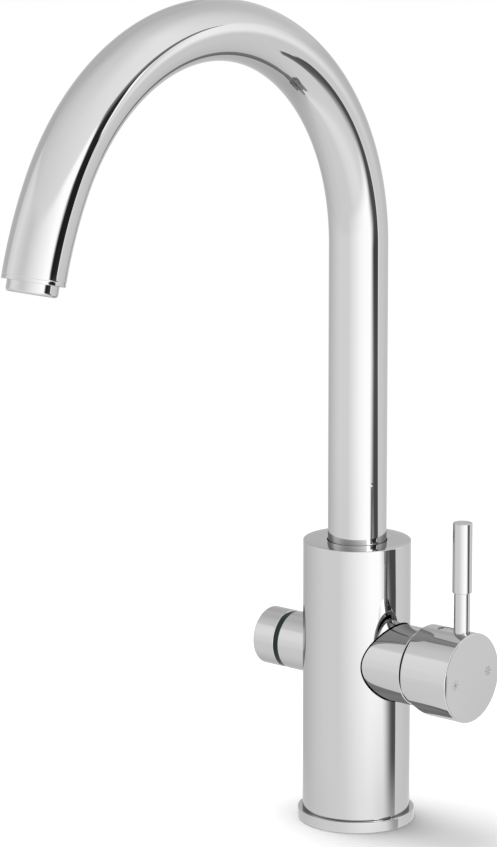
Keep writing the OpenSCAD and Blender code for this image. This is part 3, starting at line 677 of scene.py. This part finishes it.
def cylinderCutter(place, radius, low, high, segments):
    bm = bmesh.new()
    bmesh.ops.create_cone(bm, cap_ends=True, segments=segments, radius1=radius * mm, radius2=radius * mm,
                          depth=(high - low) * mm)
    turned = Matrix.Rotation(math.radians(shop["cutterTurn"]), 4, "Z")
    raised = Matrix.Translation((0, 0, (low + high) / 2 * mm)) @ turned
    bmesh.ops.transform(bm, matrix=place @ raised, verts=bm.verts)
    return meshObject("cutter", bm)


def cutAway(piece, cutters):
    for cutter in cutters:
        cut = piece.modifiers.new("cut", "BOOLEAN")
        cut.operation = "DIFFERENCE"
        cut.solver = "EXACT"
        cut.object = cutter
    bpy.context.view_layer.update()
    solved = piece.evaluated_get(bpy.context.evaluated_depsgraph_get())
    mesh = bpy.data.meshes.new_from_object(solved)
    rough = piece.data
    piece.modifiers.clear()
    piece.data = mesh
    mesh.name = piece.name
    bpy.data.meshes.remove(rough)
    for cutter in cutters:
        shape = cutter.data
        bpy.data.objects.remove(cutter)
        bpy.data.meshes.remove(shape)
    mesh.set_sharp_from_angle(angle=math.radians(shop["crease"]))


def trueWalls(piece, place, radii):
    # Gives a cut cylinder's walls the exact normals of a round wall, so that reflections stay even
    mesh = piece.data
    back = place.inverted()
    normals = [Vector((0, 0, 0))] * len(mesh.loops)
    local = [back @ vertex.co for vertex in mesh.vertices]
    reach = [math.hypot(point.x, point.y) / mm for point in local]
    for face in mesh.polygons:
        corners = [(loop, mesh.loops[loop].vertex_index) for loop in face.loop_indices]
        for radius in radii:
            if all(abs(reach[vertex] - radius) < shop["wallSlack"] for loop, vertex in corners):
                for loop, vertex in corners:
                    out = Vector((local[vertex].x, local[vertex].y, 0)).normalized()
                    out = (place.to_3x3() @ out).normalized()
                    normals[loop] = out if out.dot(face.normal) > 0 else -out
    mesh.normals_split_custom_set(normals)


# Base ring

baseShape = {"radius": 25, "height": 4.7, "bore": 21.05, "sealOut": 24, "sealIn": 22.2,
             "sealHeight": 1.6, "footEdge": 0.15, "edge": 0.4, "steps": 256}
base = baseShape
bm = turnedShape([
    (base["bore"], 0, 0),
    (base["sealIn"], 0, 0),
    (base["sealIn"], base["sealHeight"], 0),
    (base["sealOut"], base["sealHeight"], 0),
    (base["sealOut"], 0, 0),
    (base["radius"], 0, base["footEdge"]),
    (base["radius"], base["height"], base["edge"]),
    (base["bore"], base["height"], 0)], upright, base["steps"])
dressed("baseRing", bm, "body", ["base_ring"], chrome)


# Body

bodyShape = {"radius": 23, "low": 4.7, "top": 122.4, "wall": 2, "capLow": 118.4, "spoutHole": 12.85,
             "mixerHole": 17.0, "filterHole": 12.85, "holeFrom": 8, "holeTo": 30, "holeSteps": 256,
             "edge": 0.35, "spoutEdge": 0.2, "steps": 384}
body = bodyShape
bodyBore = body["radius"] - body["wall"]
bm = turnedShape([
    (bodyBore, body["low"], 0),
    (body["radius"], body["low"], body["edge"]),
    (body["radius"], body["top"], body["edge"]),
    (body["spoutHole"], body["top"], body["spoutEdge"]),
    (body["spoutHole"], body["capLow"], 0),
    (bodyBore, body["capLow"], 0)], upright, body["steps"])
bodyPiece = dressed("bodyShell", bm, "body", ["body_shell"], chrome, weighted=False)
cutAway(bodyPiece, [
    cylinderCutter(mixerSide, body["mixerHole"], body["holeFrom"], body["holeTo"], body["holeSteps"]),
    cylinderCutter(filterSide, body["filterHole"], body["holeFrom"], body["holeTo"], body["holeSteps"])])
trueWalls(bodyPiece, upright, [body["radius"], bodyBore])
print("body turned")


# Mixer side: socket, nut, hub, lever and plug. Heights run outwards from the body's axis.

mixerShape = {"bore": 12.7, "spigot": 14.65, "spigotLow": 8.5, "shoulder": 13.5, "radius": 16.5,
              "end": 35.6, "nutBore": 13.6, "nutSeat": 31.4, "edge": 0.5, "steps": 256}
mixer = mixerShape
bm = turnedShape([
    (mixer["bore"], mixer["spigotLow"], 0),
    (mixer["spigot"], mixer["spigotLow"], 0),
    (mixer["spigot"], mixer["shoulder"], 0),
    (mixer["radius"], mixer["shoulder"], 0),
    (mixer["radius"], mixer["end"], mixer["edge"]),
    (mixer["nutBore"], mixer["end"], 0),
    (mixer["nutBore"], mixer["nutSeat"], 0),
    (mixer["bore"], mixer["nutSeat"], 0)], mixerSide, mixer["steps"])
dressed("mixerSocket", bm, "body", ["mixer_socket"], chrome)

nutShape = {"hole": 8.9, "low": 31.5, "body": 13.55, "flangeLow": 35.8, "flange": 15.6, "flangeTop": 36.4,
            "tip": 12, "end": 38.0, "edge": 0.3, "holeEdge": 0.2, "flangeFoot": 0.1, "flangeEdge": 0.15,
            "steps": 192}
nut = nutShape
bm = turnedShape([
    (nut["hole"], nut["low"], 0),
    (nut["body"], nut["low"], nut["edge"]),
    (nut["body"], nut["flangeLow"], 0),
    (nut["flange"], nut["flangeLow"], nut["flangeFoot"]),
    (nut["flange"], nut["flangeTop"], nut["flangeEdge"]),
    (nut["tip"], nut["end"], nut["edge"]),
    (nut["hole"], nut["end"], nut["holeEdge"])], mixerSide, nut["steps"])
# The nut wears the near-black painted-shade brass, standing in for the shadow in the gap between socket
# and hub
dressed("cartridgeNut", bm, "body", ["cartridge_nut"], paintedShadeBrass)

hubShape = {"radius": 19, "rear": 38.0, "face": 61.38, "pocket": 17.3, "pocketEnd": 43.5, "edge": 0.5,
            "reliefDrop": 5.5, "reliefAngle": 31, "reliefBlock": 60, "reliefTop": 2,
            "leverAt": 55.9, "leverSeat": 88.9, "leverHole": 3.45, "plugAt": 47.4, "plugHole": 3.15,
            "plugLow": 88.2, "cutTop": 95, "cutSteps": 96, "stemHole": 3.6, "stemEnd": 52.9, "steps": 384}
hub = hubShape
bm = turnedShape([
    (0, hub["stemEnd"], 0),
    (hub["stemHole"], hub["stemEnd"], 0),
    (hub["stemHole"], hub["pocketEnd"], 0),
    (hub["pocket"], hub["pocketEnd"], 0),
    (hub["pocket"], hub["rear"], 0),
    (hub["radius"], hub["rear"], hub["edge"]),
    (hub["radius"], hub["face"], hub["edge"]),
    (0, hub["face"], 0)], mixerSide, hub["steps"])
hubPiece = dressed("handleHub", bm, "mixer_handle", ["handle_hub"], chrome, weighted=False)
halfBlock = hub["reliefBlock"] / 2
relief = bmesh.new()
bmesh.ops.create_cube(relief, size=hub["reliefBlock"] * mm)
blockPlace = (-halfBlock * mm, 0, (hub["reliefTop"] - halfBlock) * mm)
bmesh.ops.translate(relief, verts=relief.verts, vec=blockPlace)
reliefStart = Matrix.Translation((hub["rear"] * mm, 0, sideHeight - hub["reliefDrop"] * mm))
reliefSlant = Matrix.Rotation(math.radians(-hub["reliefAngle"]), 4, "Y")
bmesh.ops.transform(relief, verts=relief.verts, matrix=reliefStart @ reliefSlant)
leverPlace = Matrix.Translation((hub["leverAt"] * mm, 0, 0))
plugPlace = Matrix.Translation((hub["plugAt"] * mm, 0, 0))
cutAway(hubPiece, [
    meshObject("cutter", relief),
    cylinderCutter(leverPlace, hub["leverHole"], hub["leverSeat"], hub["cutTop"], hub["cutSteps"]),
    cylinderCutter(plugPlace, hub["plugHole"], hub["plugLow"], hub["cutTop"], hub["cutSteps"])])
trueWalls(hubPiece, mixerSide, [hub["radius"], hub["pocket"]])

leverShape = {"neck": 3.4, "neckLow": 88.9, "grip": 4.1, "gripLow": 108.4, "top": 138.2,
              "gripEdge": 0.2, "topEdge": 0.35, "steps": 128}
lever = leverShape
bm = turnedShape([
    (0, lever["neckLow"], 0),
    (lever["neck"], lever["neckLow"], 0),
    (lever["neck"], lever["gripLow"], 0),
    (lever["grip"], lever["gripLow"], lever["gripEdge"]),
    (lever["grip"], lever["top"], lever["topEdge"]),
    (0, lever["top"], 0)], leverPlace, lever["steps"])
dressed("leverRod", bm, "mixer_handle", ["lever_rod"], chrome)

plugShape = {"radius": 3.1, "low": 88.35, "top": 90.95, "footEdge": 0.2, "rim": 0.45, "steps": 96}
plug = plugShape
bm = turnedShape([
    (0, plug["low"], 0),
    (plug["radius"], plug["low"], plug["footEdge"]),
    (plug["radius"], plug["top"], plug["rim"]),
    (0, plug["top"], 0)], plugPlace, plug["steps"])
dressed("hubPlug", bm, "mixer_handle", ["hub_plug"], chrome)
print("mixer side turned")


# Spout and its nose

spoutShape = {"radius": 12.5, "wall": 1.2, "foot": 109.3, "segments": 160, "rim": 0.25, "rimSteps": 3,
              "bendTop": 249.5, "bendRadius": 98.5, "bendAngle": 152, "bendSteps": 152,
              "tipRadius": 157.6, "tipAngle": 14, "tipSteps": 15,
              "seamAngle": 0.13, "seamDepth": 0.11, "collarAngle": 0.45}
spout = spoutShape

# The tip, a wider bend, carries on where the first bend ends, and the mouth lies at the tip's end
bendEnd = math.radians(spout["bendAngle"])
mouthTurn = math.radians(spout["bendAngle"] + spout["tipAngle"])
centreShift = spout["bendRadius"] - spout["tipRadius"]
bendCentre = Vector((0, -spout["bendRadius"], spout["bendTop"]))
tipCentre = bendCentre + Vector((0, math.cos(bendEnd), math.sin(bendEnd))) * centreShift
mouth = tipCentre + Vector((0, math.cos(mouthTurn), math.sin(mouthTurn))) * spout["tipRadius"]
outlet = Matrix.Translation(mouth * mm) @ Matrix.Rotation(mouthTurn, 4, "X")


def onlyKind(items, kind):
    return [item for item in items if isinstance(item, kind)]


def bendTube(bm, radius):
    # Grows one wall of the tube from its foot through both bends and gives back its two rims
    circle = bmesh.ops.create_circle(bm, cap_ends=False, segments=spout["segments"], radius=radius * mm)
    foot = circle["verts"]
    bmesh.ops.translate(bm, verts=foot, vec=(0, 0, spout["foot"] * mm))
    footEdges = list({edge for vert in foot for edge in vert.link_edges})
    grown = bmesh.ops.extrude_edge_only(bm, edges=footEdges)["geom"]
    ring = onlyKind(grown, bmesh.types.BMVert)
    bmesh.ops.translate(bm, verts=ring, vec=(0, 0, (spout["bendTop"] - spout["foot"]) * mm))
    ringEdges = [edge for edge in onlyKind(grown, bmesh.types.BMEdge) if set(edge.verts) <= set(ring)]
    last = ring + ringEdges
    wide = spout["tipAngle"] - spout["collarAngle"] - 2 * spout["seamAngle"]
    narrow = radius - spout["seamDepth"]
    # The fine seam a little above the mouth is a ring drawn in and let out again
    stretches = [
        (bendCentre, spout["bendAngle"], spout["bendSteps"], 1),
        (tipCentre, wide, spout["tipSteps"], 1),
        (tipCentre, spout["seamAngle"], 1, narrow / radius),
        (tipCentre, spout["seamAngle"], 1, radius / narrow),
        (tipCentre, spout["collarAngle"], 1, 1)]
    for centre, angle, steps, growth in stretches:
        last = bmesh.ops.spin(bm, geom=last, cent=centre * mm, axis=(1, 0, 0),
                              angle=math.radians(angle), steps=steps)["geom_last"]
        ring = onlyKind(last, bmesh.types.BMVert)
        middle = sum((vert.co for vert in ring), Vector()) / len(ring)
        for vert in ring:
            vert.co = middle + (vert.co - middle) * growth
    return footEdges, onlyKind(last, bmesh.types.BMEdge)


bm = bmesh.new()
outerRims = bendTube(bm, spout["radius"])
innerRims = bendTube(bm, spout["radius"] - spout["wall"])
for outerRim, innerRim in zip(outerRims, innerRims):
    bmesh.ops.bridge_loops(bm, edges=outerRim + innerRim)
bmesh.ops.recalc_face_normals(bm, faces=bm.faces)
bmesh.ops.bevel(bm, geom=[edge for edge in outerRims[1] if edge.is_valid], offset=spout["rim"] * mm,
                offset_type="OFFSET", affect="EDGES", segments=spout["rimSteps"], profile=0.5, material=-1)
dressed("spoutTube", bm, "spout", ["spout_tube"], chrome)

noseShape = {"radius": 10.15, "bore": 8.85, "low": -0.9, "out": 4.5, "threadRadius": 11.15,
             "threadLow": -6, "threadEdge": 0.2, "boreEdge": 0.1, "rounding": 1.3, "steps": 192}
nose = noseShape
bm = turnedShape([
    (nose["bore"], nose["threadLow"], 0),
    (nose["threadRadius"], nose["threadLow"], nose["threadEdge"]),
    (nose["threadRadius"], nose["low"], 0),
    (nose["radius"], nose["low"], 0),
    (nose["radius"], nose["out"], nose["rounding"]),
    (nose["bore"], nose["out"], nose["boreEdge"])], outlet, nose["steps"])
dressed("aeratorHousing", bm, "spout", ["aerator_housing"], chrome)
print("spout bent")


# Filtered water side: socket, green ring and knob

filterShape = {"bore": 9.15, "spigot": 11.1, "spigotLow": 12.7, "shoulder": 17, "radius": 12.5,
               "end": 33.9, "ringSeat": 10.5, "ringEnd": 36.1, "edge": 0.5, "steps": 192}
filt = filterShape
bm = turnedShape([
    (filt["bore"], filt["spigotLow"], 0),
    (filt["spigot"], filt["spigotLow"], 0),
    (filt["spigot"], filt["shoulder"], 0),
    (filt["radius"], filt["shoulder"], 0),
    (filt["radius"], filt["end"], filt["edge"]),
    (filt["ringSeat"], filt["end"], 0),
    (filt["ringSeat"], filt["ringEnd"], 0),
    (filt["bore"], filt["ringEnd"], 0)], filterSide, filt["steps"])
dressed("filterSocket", bm, "body", ["filter_socket"], chrome)

ringShape = {"bore": 10.55, "radius": 12.1, "top": 36.25, "edge": 0.1, "steps": 192}
ring = ringShape
bm = turnedShape([
    (ring["bore"], filt["end"], 0),
    (ring["radius"], filt["end"], ring["edge"]),
    (ring["radius"], ring["top"], ring["edge"]),
    (ring["bore"], ring["top"], 0)], filterSide, ring["steps"])
dressed("indicatorRing", bm, "body", ["indicator_ring"], finishes["green_ring"])

knobShape = {"radius": 12.5, "rear": 36.35, "face": 47.45, "pocket": 10.9, "pocketEnd": 40.35,
             "edge": 0.55, "stemHole": 4.05, "stemEnd": 43.6, "screwAt": 42.85, "screwHole": 2.0,
             "screwLow": 55, "screwTop": 68.2, "screwSteps": 64, "steps": 256}
knob = knobShape
bm = turnedShape([
    (0, knob["stemEnd"], 0),
    (knob["stemHole"], knob["stemEnd"], 0),
    (knob["stemHole"], knob["pocketEnd"], 0),
    (knob["pocket"], knob["pocketEnd"], 0),
    (knob["pocket"], knob["rear"], 0),
    (knob["radius"], knob["rear"], knob["edge"]),
    (knob["radius"], knob["face"], knob["edge"]),
    (0, knob["face"], 0)], filterSide, knob["steps"])
knobPiece = dressed("filterKnob", bm, "filter_handle", ["filter_knob"], chrome,
                    weighted=False)
screwPlace = Matrix.Translation((-knob["screwAt"] * mm, 0, 0))
cutAway(knobPiece, [
    cylinderCutter(screwPlace, knob["screwHole"], knob["screwLow"], knob["screwTop"], knob["screwSteps"])])
trueWalls(knobPiece, filterSide, [knob["radius"], knob["pocket"]])
print("filtered water side turned")


# Hot and cold signs on the hub's face, in millimetres and in shares of their reach

signShape = {"reach": 2.1, "stroke": 0.34, "depth": 0.015, "hot": (-11.3, -0.7), "cold": (11.3, 0.9)}
sunShape = {"disc": 0.42, "discSteps": 32, "rays": 8, "rayFrom": 0.62}
snowShape = {"arms": 6, "armFrom": 0.12, "twigFrom": 0.62, "twigTo": 0.88, "twigStroke": 0.8,
             "twigLow": 0.16, "twigHigh": 0.5}  # the last two in millimetres beside the arm


def addStroke(bm, start, end, width):
    run = Vector(end) - Vector(start)
    made = bmesh.ops.create_grid(bm, x_segments=1, y_segments=1, size=0.5)["verts"]
    spot = (Vector(start) + Vector(end)) / 2
    turn = Matrix.Rotation(math.atan2(run.y, run.x), 4, "Z")
    size = Matrix.Diagonal((run.length, width, 1, 1))
    bmesh.ops.transform(bm, verts=made, matrix=Matrix.Translation((spot.x, spot.y, 0)) @ turn @ size)


def signPiece(name, bm, spot):
    raised = bmesh.ops.extrude_face_region(bm, geom=bm.faces[:])["geom"]
    bmesh.ops.translate(bm, verts=onlyKind(raised, bmesh.types.BMVert), vec=(0, 0, signShape["depth"]))
    bmesh.ops.transform(bm, verts=bm.verts, matrix=Matrix.Scale(mm, 4))
    # The sign's own x runs along the face to the right, its y up
    place = Matrix((
        (0, 0, 1, hub["face"] * mm),
        (1, 0, 0, spot[0] * mm),
        (0, 1, 0, sideHeight + spot[1] * mm),
        (0, 0, 0, 1)))
    bmesh.ops.transform(bm, verts=bm.verts, matrix=place)
    bmesh.ops.recalc_face_normals(bm, faces=bm.faces)
    dressed(name, bm, "mixer_handle", [], signInk, weighted=False)


def sunSign():
    sun = sunShape
    reach = signShape["reach"]
    bm = bmesh.new()
    bmesh.ops.create_circle(bm, cap_ends=True, segments=sun["discSteps"], radius=reach * sun["disc"])
    for step in range(sun["rays"]):
        turn = step * 2 * math.pi / sun["rays"]
        way = Vector((math.cos(turn), math.sin(turn)))
        addStroke(bm, way * reach * sun["rayFrom"], way * reach, signShape["stroke"])
    signPiece("hotSign", bm, signShape["hot"])


def snowSign():
    snow = snowShape
    reach = signShape["reach"]
    stroke = signShape["stroke"]
    bm = bmesh.new()
    for step in range(snow["arms"]):
        turn = Matrix.Rotation(step * 2 * math.pi / snow["arms"], 2)
        addStroke(bm, turn @ Vector((reach * snow["armFrom"], 0)), turn @ Vector((reach, 0)), stroke)
        for side in (-1, 1):
            start = Vector((reach * snow["twigFrom"], side * snow["twigLow"]))
            end = Vector((reach * snow["twigTo"], side * snow["twigHigh"]))
            addStroke(bm, turn @ start, turn @ end, stroke * snow["twigStroke"])
    signPiece("coldSign", bm, signShape["cold"])


sunSign()
snowSign()
print("signs etched")
